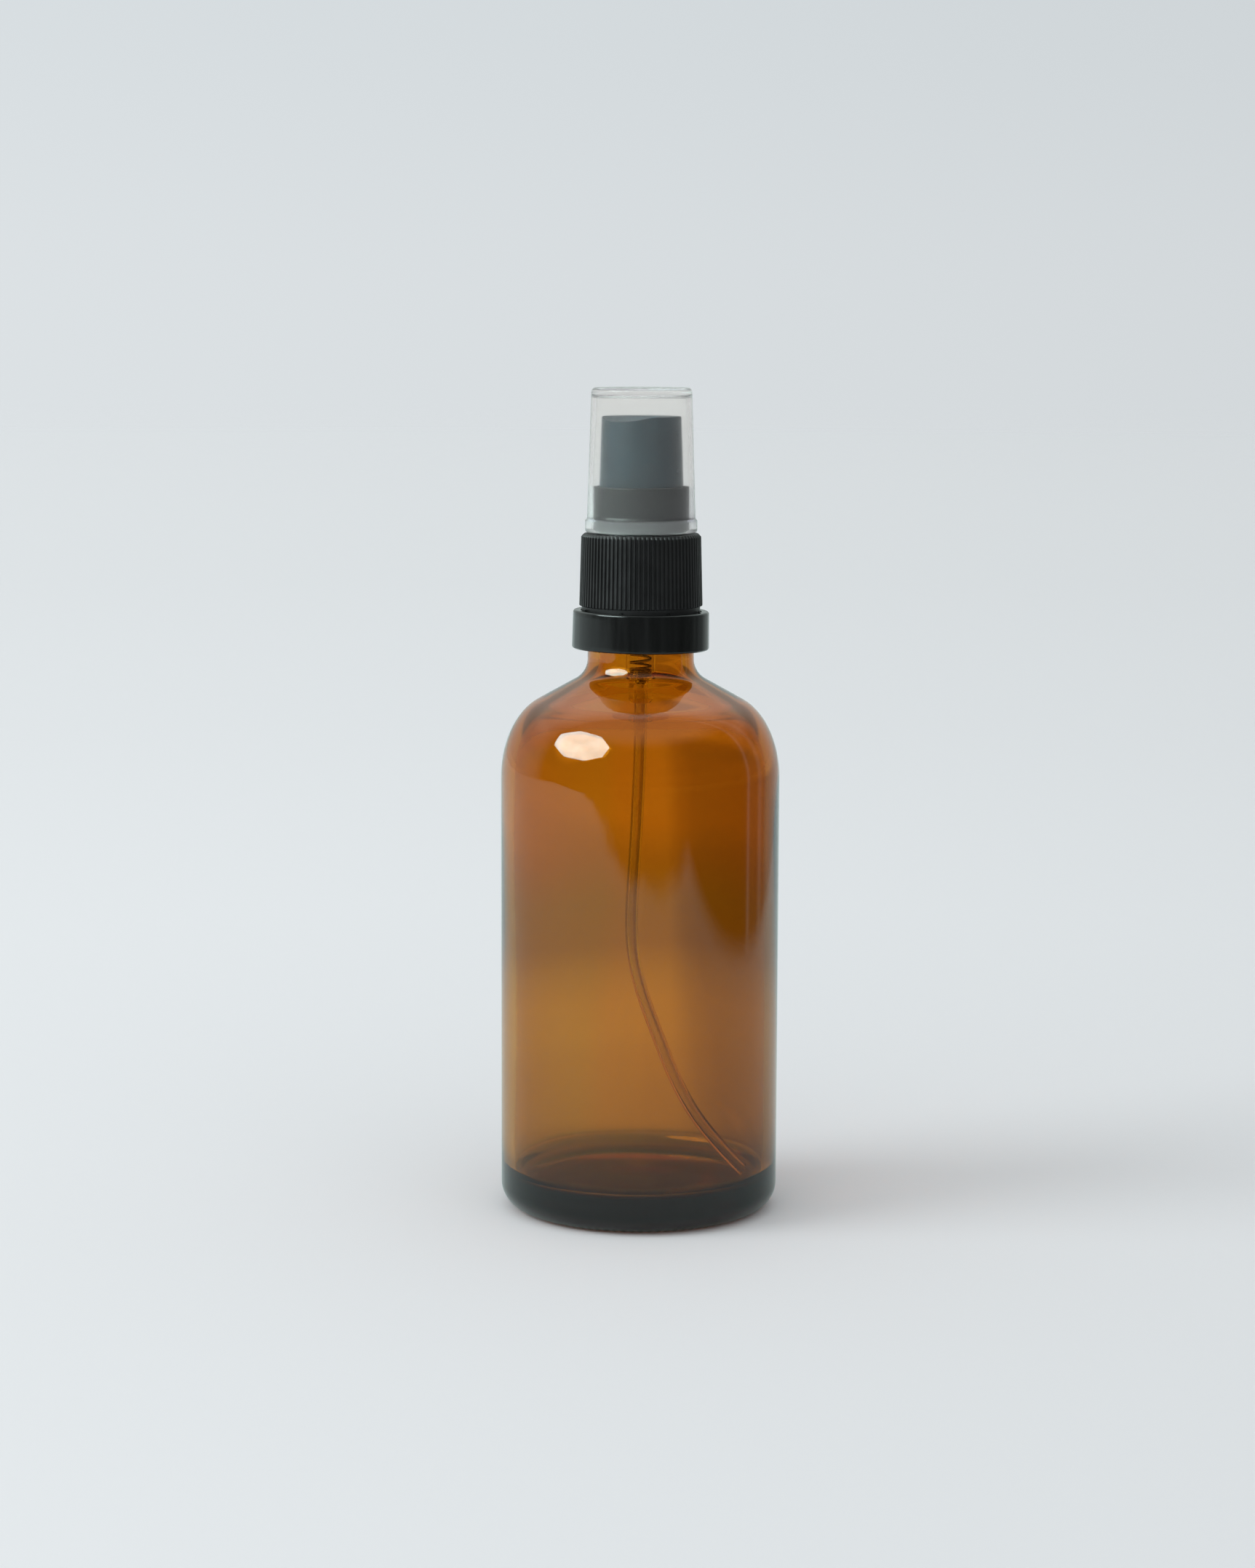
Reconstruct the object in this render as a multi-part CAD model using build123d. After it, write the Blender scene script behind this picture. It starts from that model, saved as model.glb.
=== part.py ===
"""A 100 ml amber glass bottle with a fine-mist pump sprayer, a tamper ring and a clear overcap.

Millimetres. +Z runs up the bottle's axis from the centre of the ring it stands on, and the nozzle
faces -Y. Every piece is built where it stands at rest, as one solid, and written to parts/NAME.step.
"""

import os
from math import cos, pi, radians, sin

from build123d import *

# Bottle: outside
BODY_R = 23.4
HEEL_R = 4.3
BEARING_RING_WIDTH = 1.8
PUSH_UP = 1.2
SHOULDER_Z = 73.5
SHOULDER_RUN = 9.3
SHOULDER_RISE = 13.9
SHOULDER_END_DEG = 69.6
NECK_R = 8.9
NECK_FILLET_R = 3.9
# Bottle: inside
WALL = 2.2
FLOOR_Z = 5.3
FLOOR_DOME = 0.8
INNER_HEEL_R = 4.0
NECK_BORE_R = 6.9
THROAT_TOP_Z = 101.2
LIP_BORE_R = 6.0
# Bottle: finish, the part of the neck that the closure screws onto
LIP_Z = 111.2
FINISH_R = 8.1
LIP_ROUND = 0.5
BEAD_R = 9.7
BEAD_LOW_Z = 97.9
BEAD_HIGH_Z = 99.7
BEAD_LOW_SLOPE = 0.4
BEAD_HIGH_SLOPE = 0.8

# Thread between bottle and closure: right-hand, one start
PITCH = 3.0
BOTTLE_THREAD_CREST_R = 8.95
BOTTLE_THREAD_Z = 103.4
BOTTLE_THREAD_TURNS = 1.75
CLOSURE_THREAD_CREST_R = 8.25
CLOSURE_THREAD_TURNS = 1.0
THREAD_ROOT_WIDTH = 1.75
THREAD_CREST_WIDTH = 0.85
THREAD_EMBED = 0.25

# Closure: ribbed screw cap with a guide tower
CLOSURE_LOW_Z = 101.3
RIB_LOW_Z = 102.4
CLOSURE_TOP_Z = 114.45
RIB_CREST_LOW_R = 10.3
RIB_CREST_TOP_R = 10.0
RIB_DEPTH = 0.32
RIB_COUNT = 82
RIB_HALF_CREST = 0.16
RIB_HALF_ROOT = 0.32
RIB_TOP_CHAMFER = 0.45
BAND_R = 9.9
CLOSURE_BORE_R = 9.1
DECK_UNDERSIDE_Z = 113.3
TURRET_SEAT_Z = 114.4
TURRET_SEAT_R = 6.25
TOWER_FLOOR_Z = 115.6
TOWER_TOP_Z = 122.3
TOWER_R = 8.0
TOWER_BORE_R = 7.3
TOWER_ROUND = 0.25
TURRET_HOLE_R = 4.95
GRIP_BEAD_Z = 116.9
GRIP_BEAD_R = 8.14
GRIP_BEAD_HALF_HEIGHT = 0.3

# Tamper ring: left on the neck, a little tilted, once its bridges have parted
RING_LOW_Z = 95.2
RING_TOP_Z = 101.6
RING_LOW_R = 11.48
RING_TOP_R = 11.38
RING_BORE_R = 10.1
RING_LIP_R = 9.3
RING_LIP_LOW_Z = 95.9
RING_LIP_TOP_Z = 97.2
RING_LIP_SLOPE = 0.4
RING_LOW_EDGE_R = 9.8
RING_ROUND = 0.3
RING_TILT_DEG = 0.8
RING_LOW_SIDE_DEG = 215.0
BRIDGE_COUNT = 8
BRIDGE_WIDTH = 0.55
BRIDGE_DEPTH = 0.7
BRIDGE_HEIGHT = 0.5
BRIDGE_SUNK = 0.2
BRIDGE_FIRST_DEG = 106.0

# Pump body: gasket, housing and turret
GASKET_TOP_Z = 112.0
GASKET_BORE_R = 4.7
FLANGE_R = 8.1
FLANGE_TOP_Z = 113.25
MOUTH_R = 3.4
MOUTH_FLOOR_Z = 110.4
CHAMBER_R = 2.9
CHAMBER_LOW_Z = 97.2
CHAMBER_CONE_LOW_Z = 96.3
SPRING_BORE_R = 2.0
SPRING_SEAT_Z = 89.65
HOUSING_TOP_R = 4.6
HOUSING_TOP_LOW_Z = 107.6
HOUSING_R = 3.75
HOUSING_HIGH_Z = 107.0
HOUSING_MIDDLE_Z = 96.9
HOUSING_LOW_R = 2.45
HOUSING_LOW_TOP_Z = 95.6
HOUSING_LOW_Z = 89.3
TAIL_R = 2.0
TAIL_TOP_Z = 88.9
TAIL_LOW_Z = 84.6
TAIL_LEAD_IN = 0.3
TAIL_LEAD_IN_Z = 85.1
VENT_R = 0.35
VENT_Z = 108.2
BALL_R = 1.0
BALL_Z = 88.2
BALL_CAGE_R = 1.15
BALL_CAGE_TOP_Z = 89.35
BALL_CAGE_LIP_R = 0.93
BALL_CAGE_LIP_Z = 89.5
INLET_R = 0.6
INLET_Z = 87.35
TURRET_FLANGE_R = 6.1
TURRET_TOP_Z = 116.6
TURRET_NECK_R = 3.0
TURRET_PLAY = 0.1
STEM_GUIDE_R = 1.72

# Plunger: stem, valve rod, piston and main spring
STEM_R = 1.65
STEM_BORE_R = 1.0
STEM_LOW_Z = 106.6
STEM_TOP_Z = 127.0
STEM_CHAMFER = 0.2
STEM_STOP_R = 2.4
STEM_STOP_Z = 109.75
STEM_STOP_THICK = 0.6
ROD_HEAD_R = 2.3
ROD_HEAD_LOW_Z = 104.75
ROD_HEAD_TOP_Z = 105.7
ROD_SHANK_R = 0.97
ROD_SHANK_TOP_Z = 109.0
ROD_FLAT = 0.7
ROD_GUIDE_R = 1.2
ROD_GUIDE_SHOULDER_Z = 102.75
ROD_TIP_R = 0.8
ROD_TIP_Z = 102.05
PISTON_R = 2.88
PISTON_WAIST_R = 2.35
PISTON_BORE_R = 1.72
PISTON_SEAT_R = 1.2
PISTON_SEAT_TOP_Z = 106.1
PISTON_LOW_Z = 105.75
PISTON_LOW_LIP_Z = 106.5
PISTON_WAIST_LOW_Z = 106.9
PISTON_WAIST_TOP_Z = 108.3
PISTON_TOP_LIP_Z = 108.7
PISTON_TOP_Z = 109.2
WIRE_R = 0.21
COIL_R = 1.68
CLOSED_PITCH = 0.44
CLOSED_TURNS_LOW = 4.0
CLOSED_TURNS_TOP = 1.5
ACTIVE_TURNS = 10.0
SPRING_POINTS_PER_TURN = 10

# Dip tube: bowed in one upright plane, with its cut tip in the corner of the base
TUBE_R = 1.05
TUBE_BORE_R = 0.6
TUBE_TOP_Z = 86.85
TUBE_STRAIGHT_LOW_Z = 84.2
TUBE_PLANE_DEG = -168.0
TUBE_BOW = ((-1.3, 57.0), (-1.1, 42.0), (3.1, 30.0), (10.2, 16.5))
TUBE_TIP = (19.0, 7.5)
TUBE_TIP_HEADING_DEG = -43.0
TUBE_CUT_DEG = 35.0
TUBE_CUT_BACK = 0.315

# Actuator and nozzle insert
ACTUATOR_LOW_Z = 120.5
ACTUATOR_TOP_Z = 133.9
ACTUATOR_LOW_R = 7.05
ACTUATOR_TOP_R = 6.61
ACTUATOR_WALL = 1.0
ACTUATOR_CEILING_Z = 131.2
ACTUATOR_ROUND = 0.3
POST_R = 2.8
POST_LOW_Z = 121.6
SOCKET_R = 1.68
SOCKET_TOP_Z = 127.05
FEED_R = 0.8
FEED_TOP_Z = 130.5
DISH_R = 9.8
DISH_Y = 3.0
DISH_DEPTH = 1.55
NOZZLE_Z = 128.6
NOZZLE_BOSS_R = 2.9
NOZZLE_BORE_R = 1.9
NOZZLE_BORE_Y = 3.45
NOZZLE_PIN_R = 1.0
NOZZLE_PIN_Y = 5.9
NOZZLE_FACE_Y = 6.45
NOZZLE_RIM_R = 2.35
INSERT_R = 1.88
INSERT_BACK_Y = 3.85
INSERT_BORE_R = 1.03
INSERT_BORE_DEPTH = 2.1
FLUTE_R = 0.3
FLUTE_COUNT = 3
SWIRL_R = 0.5
SWIRL_DEPTH = 0.15
ORIFICE_R = 0.15
INSERT_CHAMFER = 0.2

# Overcap
CAP_LOW_Z = 114.75
CAP_TOP_Z = 138.6
CAP_LIP_R = 9.35
CAP_LIP_TOP_Z = 116.6
CAP_LIP_SLOPE = 0.35
CAP_LEAD_IN_WIDTH = 0.4
CAP_LEAD_IN_HEIGHT = 0.5
CAP_LOW_R = 9.05
CAP_TOP_R = 8.35
CAP_BORE_LOW_R = 8.2
CAP_BORE_TOP_R = 7.5
CAP_CEILING_Z = 137.4
CAP_ROUND = 0.7
CAP_BORE_ROUND = 0.5

# Running clearance between pieces that slide or sit in one another
CLEARANCE = 0.02
# How far a tool is carried past what it cuts, and a joined piece into what it joins
OVERSHOOT = 1.0
OVERLAP = 0.2
# How closely an edge's height must match to be picked
EDGE_TOLERANCE = 0.001


def turned(outline):
    """The solid that a closed outline of (radius, height) sweeps about Z."""
    return revolve(make_face(Plane.XZ * outline), Axis.Z)


def turned_points(*points):
    """The solid of revolution of a straight-sided outline."""
    return turned(Polyline(*points, close=True))


def ring(outer_r, inner_r, bottom, top):
    """A plain ring about Z."""
    return turned_points((inner_r, bottom), (outer_r, bottom), (outer_r, top), (inner_r, top))


def disc(radius, bottom, top):
    """A plain cylinder about Z."""
    return turned_points((0, bottom), (radius, bottom), (radius, top), (0, top))


def bore_along_y(radius, near_y, far_y, height):
    """A cylinder that runs towards -Y, from near_y to far_y in front of the axis."""
    length = far_y - near_y
    upright = Cylinder(radius, length, align=(Align.CENTER, Align.CENTER, Align.MIN))
    return Pos(0, -near_y, height) * Rot(90, 0, 0) * upright


def circles_at(solid, height):
    """The round edges of a solid that lie at one height."""
    round_edges = solid.edges().filter_by(GeomType.CIRCLE)
    return round_edges.filter_by_position(Axis.Z, height - EDGE_TOLERANCE, height + EDGE_TOLERANCE)


def thread(wall_r, crest_r, first_z, turns):
    """A right-hand thread that stands on a wall, outwards or inwards, from first_z up."""
    root_r = wall_r - THREAD_EMBED if crest_r > wall_r else wall_r + THREAD_EMBED
    half_root = THREAD_ROOT_WIDTH / 2
    half_crest = THREAD_CREST_WIDTH / 2
    profile = Polyline(
        (root_r, first_z - half_root),
        (wall_r, first_z - half_root),
        (crest_r, first_z - half_crest),
        (crest_r, first_z + half_crest),
        (wall_r, first_z + half_root),
        (root_r, first_z + half_root),
        close=True,
    )
    path = Pos(0, 0, first_z) * Helix(PITCH, PITCH * turns, wall_r)
    return sweep(make_face(Plane.XZ * profile), path, is_frenet=True)


def shoulder(inset):
    """The rounded part of the shoulder, pulled in from the outside of the glass by inset."""
    centre = (BODY_R - SHOULDER_RUN, SHOULDER_Z)
    return EllipticalCenterArc(
        centre, SHOULDER_RUN - inset, SHOULDER_RISE - inset, 0, arc_size=SHOULDER_END_DEG
    )


def neck_corner(arc, neck_r):
    """Where the straight run after a shoulder arc would meet a neck of radius neck_r."""
    start = arc @ 1
    heading = arc % 1
    reach = (neck_r - start.X) / heading.X
    return (neck_r, start.Y + heading.Y * reach)


def bottle_outside():
    """The glass as if it were solid, up to the lip."""
    heel_in = BODY_R - HEEL_R
    ring_in = heel_in - BEARING_RING_WIDTH
    punt = TangentArc((0, PUSH_UP), (ring_in, 0), tangent=(1, 0))
    bearing = Line((ring_in, 0), (heel_in, 0))
    heel = CenterArc((heel_in, HEEL_R), HEEL_R, -90, 90)
    side = Line((BODY_R, HEEL_R), (BODY_R, SHOULDER_Z))
    arc = shoulder(0)
    neck = FilletPolyline(
        arc @ 1, neck_corner(arc, NECK_R), (NECK_R, BEAD_LOW_Z), radius=NECK_FILLET_R
    )
    bead = Polyline(
        (NECK_R, BEAD_LOW_Z),
        (BEAD_R, BEAD_LOW_Z + BEAD_LOW_SLOPE),
        (BEAD_R, BEAD_HIGH_Z - BEAD_HIGH_SLOPE),
        (FINISH_R, BEAD_HIGH_Z),
    )
    finish = Line((FINISH_R, BEAD_HIGH_Z), (FINISH_R, LIP_Z))
    close = Polyline((FINISH_R, LIP_Z), (0, LIP_Z), (0, PUSH_UP))
    return turned(punt + bearing + heel + side + arc + neck + bead + finish + close)


def bottle_cavity():
    """The space inside the glass, open through the lip."""
    inner_r = BODY_R - WALL
    floor_r = inner_r - INNER_HEEL_R
    dome = TangentArc((0, FLOOR_Z + FLOOR_DOME), (floor_r, FLOOR_Z), tangent=(1, 0))
    heel = CenterArc((floor_r, FLOOR_Z + INNER_HEEL_R), INNER_HEEL_R, -90, 90)
    side = Line((inner_r, FLOOR_Z + INNER_HEEL_R), (inner_r, SHOULDER_Z))
    arc = shoulder(WALL)
    neck = FilletPolyline(
        arc @ 1,
        neck_corner(arc, NECK_BORE_R),
        (NECK_BORE_R, BEAD_LOW_Z),
        radius=NECK_FILLET_R + WALL,
    )
    throat = Polyline(
        (NECK_BORE_R, BEAD_LOW_Z),
        (LIP_BORE_R, THROAT_TOP_Z),
        (LIP_BORE_R, LIP_Z + OVERSHOOT),
        (0, LIP_Z + OVERSHOOT),
        (0, FLOOR_Z + FLOOR_DOME),
    )
    return turned(dome + heel + side + arc + neck + throat)


def make_bottle():
    glass = bottle_outside() - bottle_cavity()
    glass = fillet(circles_at(glass, LIP_Z), LIP_ROUND)
    return glass + thread(FINISH_R, BOTTLE_THREAD_CREST_R, BOTTLE_THREAD_Z, BOTTLE_THREAD_TURNS)


def rib_outline(crest_r, height):
    """The toothed outline of the grip at one height."""
    root_r = crest_r - RIB_DEPTH
    corners = (
        (root_r, -RIB_HALF_ROOT),
        (crest_r, -RIB_HALF_CREST),
        (crest_r, RIB_HALF_CREST),
        (root_r, RIB_HALF_ROOT),
    )
    points = []
    for i in range(RIB_COUNT):
        for radius, share in corners:
            angle = (i + share) * 2 * pi / RIB_COUNT
            points.append((radius * cos(angle), radius * sin(angle)))
    return Pos(0, 0, height) * make_face(Polyline(*points, close=True))


def make_screw_closure():
    low = rib_outline(RIB_CREST_LOW_R, RIB_LOW_Z)
    high = rib_outline(RIB_CREST_TOP_R, CLOSURE_TOP_Z)
    grip = loft([low, high], ruled=True)
    chamfer_low_z = CLOSURE_TOP_Z - RIB_TOP_CHAMFER
    envelope = turned_points(
        (0, RIB_LOW_Z),
        (RIB_CREST_LOW_R + OVERSHOOT, RIB_LOW_Z),
        (RIB_CREST_TOP_R + OVERSHOOT, chamfer_low_z - OVERSHOOT),
        (RIB_CREST_TOP_R - RIB_TOP_CHAMFER, CLOSURE_TOP_Z),
        (0, CLOSURE_TOP_Z),
    )
    band = disc(BAND_R, CLOSURE_LOW_Z, RIB_LOW_Z)
    tower = disc(TOWER_R, DECK_UNDERSIDE_Z, TOWER_TOP_Z)
    bead_low_z = GRIP_BEAD_Z - GRIP_BEAD_HALF_HEIGHT
    bead_high_z = GRIP_BEAD_Z + GRIP_BEAD_HALF_HEIGHT
    tower += ring(GRIP_BEAD_R, TOWER_R - OVERSHOOT, bead_low_z, bead_high_z)
    shell = (grip & envelope) + band + tower
    inside = turned_points(
        (0, CLOSURE_LOW_Z - OVERSHOOT),
        (CLOSURE_BORE_R, CLOSURE_LOW_Z - OVERSHOOT),
        (CLOSURE_BORE_R, DECK_UNDERSIDE_Z),
        (TURRET_SEAT_R, DECK_UNDERSIDE_Z),
        (TURRET_SEAT_R, TURRET_SEAT_Z),
        (TURRET_HOLE_R, TURRET_SEAT_Z),
        (TURRET_HOLE_R, TOWER_FLOOR_Z),
        (TOWER_BORE_R, TOWER_FLOOR_Z),
        (TOWER_BORE_R, TOWER_TOP_Z + OVERSHOOT),
        (0, TOWER_TOP_Z + OVERSHOOT),
    )
    shell -= inside
    shell = fillet(circles_at(shell, TOWER_TOP_Z), TOWER_ROUND)
    first_z = BOTTLE_THREAD_Z + PITCH / 2
    return shell + thread(CLOSURE_BORE_R, CLOSURE_THREAD_CREST_R, first_z, CLOSURE_THREAD_TURNS)


def make_tamper_ring():
    body = turned_points(
        (RING_LOW_EDGE_R, RING_LOW_Z),
        (RING_LOW_R, RING_LOW_Z),
        (RING_TOP_R, RING_TOP_Z),
        (RING_BORE_R, RING_TOP_Z),
        (RING_BORE_R, RING_LIP_TOP_Z + RING_LIP_SLOPE),
        (RING_LIP_R, RING_LIP_TOP_Z),
        (RING_LIP_R, RING_LIP_LOW_Z),
    )
    outer_edges = circles_at(body, RING_TOP_Z) + circles_at(body, RING_LOW_Z)
    outer_edges = outer_edges.filter_by(lambda edge: edge.radius > RING_BORE_R + OVERSHOOT)
    body = fillet(outer_edges, RING_ROUND)
    stub = Box(BRIDGE_DEPTH, BRIDGE_WIDTH, BRIDGE_HEIGHT, align=(Align.MIN, Align.CENTER, Align.MIN))
    for i in range(BRIDGE_COUNT):
        turn = Rot(0, 0, BRIDGE_FIRST_DEG + i * 360 / BRIDGE_COUNT)
        body += turn * Pos(RING_BORE_R, 0, RING_TOP_Z - BRIDGE_SUNK) * stub
    pivot = Axis((0, 0, (RING_LOW_Z + RING_TOP_Z) / 2), ring_tilt_axis())
    return body.rotate(pivot, RING_TILT_DEG)


def ring_tilt_axis():
    """The level line about which the ring tips, so that it is lowest at RING_LOW_SIDE_DEG."""
    side = radians(RING_LOW_SIDE_DEG)
    return (-sin(side), cos(side), 0)


def make_neck_gasket():
    return ring(FLANGE_R, GASKET_BORE_R, LIP_Z, GASKET_TOP_Z)


def make_pump_housing():
    vent = bore_along_y(VENT_R, 0, HOUSING_TOP_R + OVERSHOOT, VENT_Z)
    return housing_outside() - waterway() - vent


def housing_outside():
    """The pump housing as if it were solid: tail, two barrel diameters and the flange on the lip."""
    return turned_points(
        (0, TAIL_LOW_Z),
        (TAIL_R - TAIL_LEAD_IN, TAIL_LOW_Z),
        (TAIL_R, TAIL_LEAD_IN_Z),
        (TAIL_R, TAIL_TOP_Z),
        (HOUSING_LOW_R, HOUSING_LOW_Z),
        (HOUSING_LOW_R, HOUSING_LOW_TOP_Z),
        (HOUSING_R, HOUSING_MIDDLE_Z),
        (HOUSING_R, HOUSING_HIGH_Z),
        (HOUSING_TOP_R, HOUSING_TOP_LOW_Z),
        (HOUSING_TOP_R, GASKET_TOP_Z),
        (FLANGE_R, GASKET_TOP_Z),
        (FLANGE_R, FLANGE_TOP_Z),
        (0, FLANGE_TOP_Z),
    )


def waterway():
    """The space inside the housing: tube socket, inlet, ball cage, spring bore, chamber and mouth."""
    socket_r = TUBE_R + CLEARANCE
    socket_z = TUBE_TOP_Z + CLEARANCE
    return turned_points(
        (0, TAIL_LOW_Z - OVERSHOOT),
        (socket_r, TAIL_LOW_Z - OVERSHOOT),
        (socket_r, socket_z),
        (INLET_R, socket_z),
        (INLET_R, INLET_Z),
        (BALL_CAGE_R, INLET_Z + BALL_CAGE_R - INLET_R),
        (BALL_CAGE_R, BALL_CAGE_TOP_Z),
        (BALL_CAGE_LIP_R, BALL_CAGE_LIP_Z),
        (BALL_CAGE_LIP_R, SPRING_SEAT_Z),
        (SPRING_BORE_R, SPRING_SEAT_Z),
        (SPRING_BORE_R, CHAMBER_CONE_LOW_Z),
        (CHAMBER_R, CHAMBER_LOW_Z),
        (CHAMBER_R, MOUTH_FLOOR_Z),
        (MOUTH_R, MOUTH_FLOOR_Z),
        (MOUTH_R, FLANGE_TOP_Z + OVERSHOOT),
        (0, FLANGE_TOP_Z + OVERSHOOT),
    )


def make_turret():
    plug_r = MOUTH_R - CLEARANCE
    plug_low_z = MOUTH_FLOOR_Z + CLEARANCE
    flange_low_z = FLANGE_TOP_Z + CLEARANCE
    flange_top_z = TURRET_SEAT_Z - TURRET_PLAY
    hub_r = TURRET_HOLE_R - TURRET_PLAY
    return turned_points(
        (STEM_GUIDE_R, plug_low_z),
        (plug_r, plug_low_z),
        (plug_r, flange_low_z),
        (TURRET_FLANGE_R, flange_low_z),
        (TURRET_FLANGE_R, flange_top_z),
        (hub_r, flange_top_z),
        (hub_r, TOWER_FLOOR_Z),
        (TURRET_NECK_R, TOWER_FLOOR_Z),
        (TURRET_NECK_R, TURRET_TOP_Z),
        (STEM_GUIDE_R, TURRET_TOP_Z),
    )


def make_check_ball():
    return Pos(0, 0, BALL_Z) * Sphere(BALL_R)


def make_dip_tube():
    lead_in = Line((0, TUBE_TOP_Z), (0, TUBE_STRAIGHT_LOW_Z))
    heading = radians(TUBE_TIP_HEADING_DEG)
    bow = Spline(
        (0, TUBE_STRAIGHT_LOW_Z),
        *TUBE_BOW,
        TUBE_TIP,
        tangents=[(0, -1), (cos(heading), sin(heading))],
    )
    path = Plane.XZ * (lead_in + bow)
    mouth = Plane((0, 0, TUBE_TOP_Z), z_dir=(0, 0, -1))
    tube = sweep(mouth * (Circle(TUBE_R) - Circle(TUBE_BORE_R)), path)
    corner = Pos(TUBE_TIP[0], 0, TUBE_TIP[1]) * Rot(0, -TUBE_TIP_HEADING_DEG - TUBE_CUT_DEG, 0)
    reach = 10 * TUBE_R
    block = Box(reach, reach, reach, align=(Align.MIN, Align.CENTER, Align.CENTER))
    knife = corner * Pos(-TUBE_CUT_BACK, 0, 0) * block
    return Rot(0, 0, TUBE_PLANE_DEG) * (tube - knife)


def make_stem():
    return turned_points(
        (STEM_BORE_R, STEM_LOW_Z),
        (STEM_R, STEM_LOW_Z),
        (STEM_R, STEM_STOP_Z),
        (STEM_STOP_R, STEM_STOP_Z),
        (STEM_STOP_R, STEM_STOP_Z + STEM_STOP_THICK),
        (STEM_R, STEM_STOP_Z + STEM_STOP_THICK),
        (STEM_R, STEM_TOP_Z - STEM_CHAMFER),
        (STEM_R - STEM_CHAMFER, STEM_TOP_Z),
        (STEM_BORE_R, STEM_TOP_Z),
    )


def make_valve_rod():
    body = turned_points(
        (0, ROD_TIP_Z),
        (ROD_TIP_R, ROD_TIP_Z),
        (ROD_GUIDE_R, ROD_GUIDE_SHOULDER_Z),
        (ROD_GUIDE_R, ROD_HEAD_LOW_Z),
        (ROD_HEAD_R, ROD_HEAD_LOW_Z),
        (ROD_HEAD_R, ROD_HEAD_TOP_Z),
        (ROD_SHANK_R, ROD_HEAD_TOP_Z),
        (ROD_SHANK_R, ROD_SHANK_TOP_Z),
        (0, ROD_SHANK_TOP_Z),
    )
    length = ROD_SHANK_TOP_Z - ROD_HEAD_TOP_Z + OVERSHOOT
    slab = Box(OVERSHOOT, 2 * ROD_HEAD_R, length, align=(Align.MIN, Align.CENTER, Align.MIN))
    flat = Pos(ROD_FLAT, 0, ROD_HEAD_TOP_Z) * slab
    return body - flat - Rot(0, 0, 180) * flat


def make_piston():
    return turned_points(
        (PISTON_SEAT_R, PISTON_LOW_Z),
        (PISTON_R, PISTON_LOW_Z),
        (PISTON_R, PISTON_LOW_LIP_Z),
        (PISTON_WAIST_R, PISTON_WAIST_LOW_Z),
        (PISTON_WAIST_R, PISTON_WAIST_TOP_Z),
        (PISTON_R, PISTON_TOP_LIP_Z),
        (PISTON_R, PISTON_TOP_Z),
        (PISTON_BORE_R, PISTON_TOP_Z),
        (PISTON_BORE_R, PISTON_SEAT_TOP_Z),
        (PISTON_SEAT_R, PISTON_SEAT_TOP_Z),
    )


def coil_height(turns, low, high):
    """Height of the wire's centre after some turns: closed coils, open coils, closed coils."""
    closed_low = CLOSED_TURNS_LOW * CLOSED_PITCH
    closed_top = CLOSED_TURNS_TOP * CLOSED_PITCH
    open_pitch = (high - low - closed_low - closed_top) / ACTIVE_TURNS
    if turns < CLOSED_TURNS_LOW:
        return low + turns * CLOSED_PITCH
    if turns < CLOSED_TURNS_LOW + ACTIVE_TURNS:
        return low + closed_low + (turns - CLOSED_TURNS_LOW) * open_pitch
    left = CLOSED_TURNS_LOW + ACTIVE_TURNS + CLOSED_TURNS_TOP - turns
    return high - left * CLOSED_PITCH


def make_main_spring():
    low = SPRING_SEAT_Z + WIRE_R + CLEARANCE
    high = ROD_HEAD_LOW_Z - WIRE_R - CLEARANCE
    turns = CLOSED_TURNS_LOW + ACTIVE_TURNS + CLOSED_TURNS_TOP
    points = []
    for i in range(int(turns * SPRING_POINTS_PER_TURN) + 1):
        angle = 2 * pi * i / SPRING_POINTS_PER_TURN
        height = coil_height(i / SPRING_POINTS_PER_TURN, low, high)
        points.append((COIL_R * cos(angle), COIL_R * sin(angle), height))
    path = Spline(*points)
    wire = Plane(path @ 0, z_dir=path % 0) * Circle(WIRE_R)
    return sweep(wire, path, is_frenet=True)


def make_actuator():
    button = turned_points(
        (0, ACTUATOR_LOW_Z),
        (ACTUATOR_LOW_R, ACTUATOR_LOW_Z),
        (ACTUATOR_TOP_R, ACTUATOR_TOP_Z),
        (0, ACTUATOR_TOP_Z),
    )
    button = fillet(circles_at(button, ACTUATOR_TOP_Z), ACTUATOR_ROUND)
    hollow = turned_points(
        (0, ACTUATOR_LOW_Z - OVERSHOOT),
        (ACTUATOR_LOW_R - ACTUATOR_WALL, ACTUATOR_LOW_Z - OVERSHOOT),
        (ACTUATOR_TOP_R - ACTUATOR_WALL, ACTUATOR_CEILING_Z),
        (0, ACTUATOR_CEILING_Z),
    )
    post = disc(POST_R, POST_LOW_Z, ACTUATOR_TOP_Z)
    boss = bore_along_y(NOZZLE_BOSS_R, 0, ACTUATOR_LOW_R, NOZZLE_Z)
    dish_z = ACTUATOR_TOP_Z - DISH_DEPTH + DISH_R
    dish = Pos(0, DISH_Y, dish_z) * Sphere(DISH_R)
    body = button - (hollow - post - boss) - dish - spray_passages()
    return body + bore_along_y(NOZZLE_PIN_R, NOZZLE_BORE_Y - OVERLAP, NOZZLE_PIN_Y, NOZZLE_Z)


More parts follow.
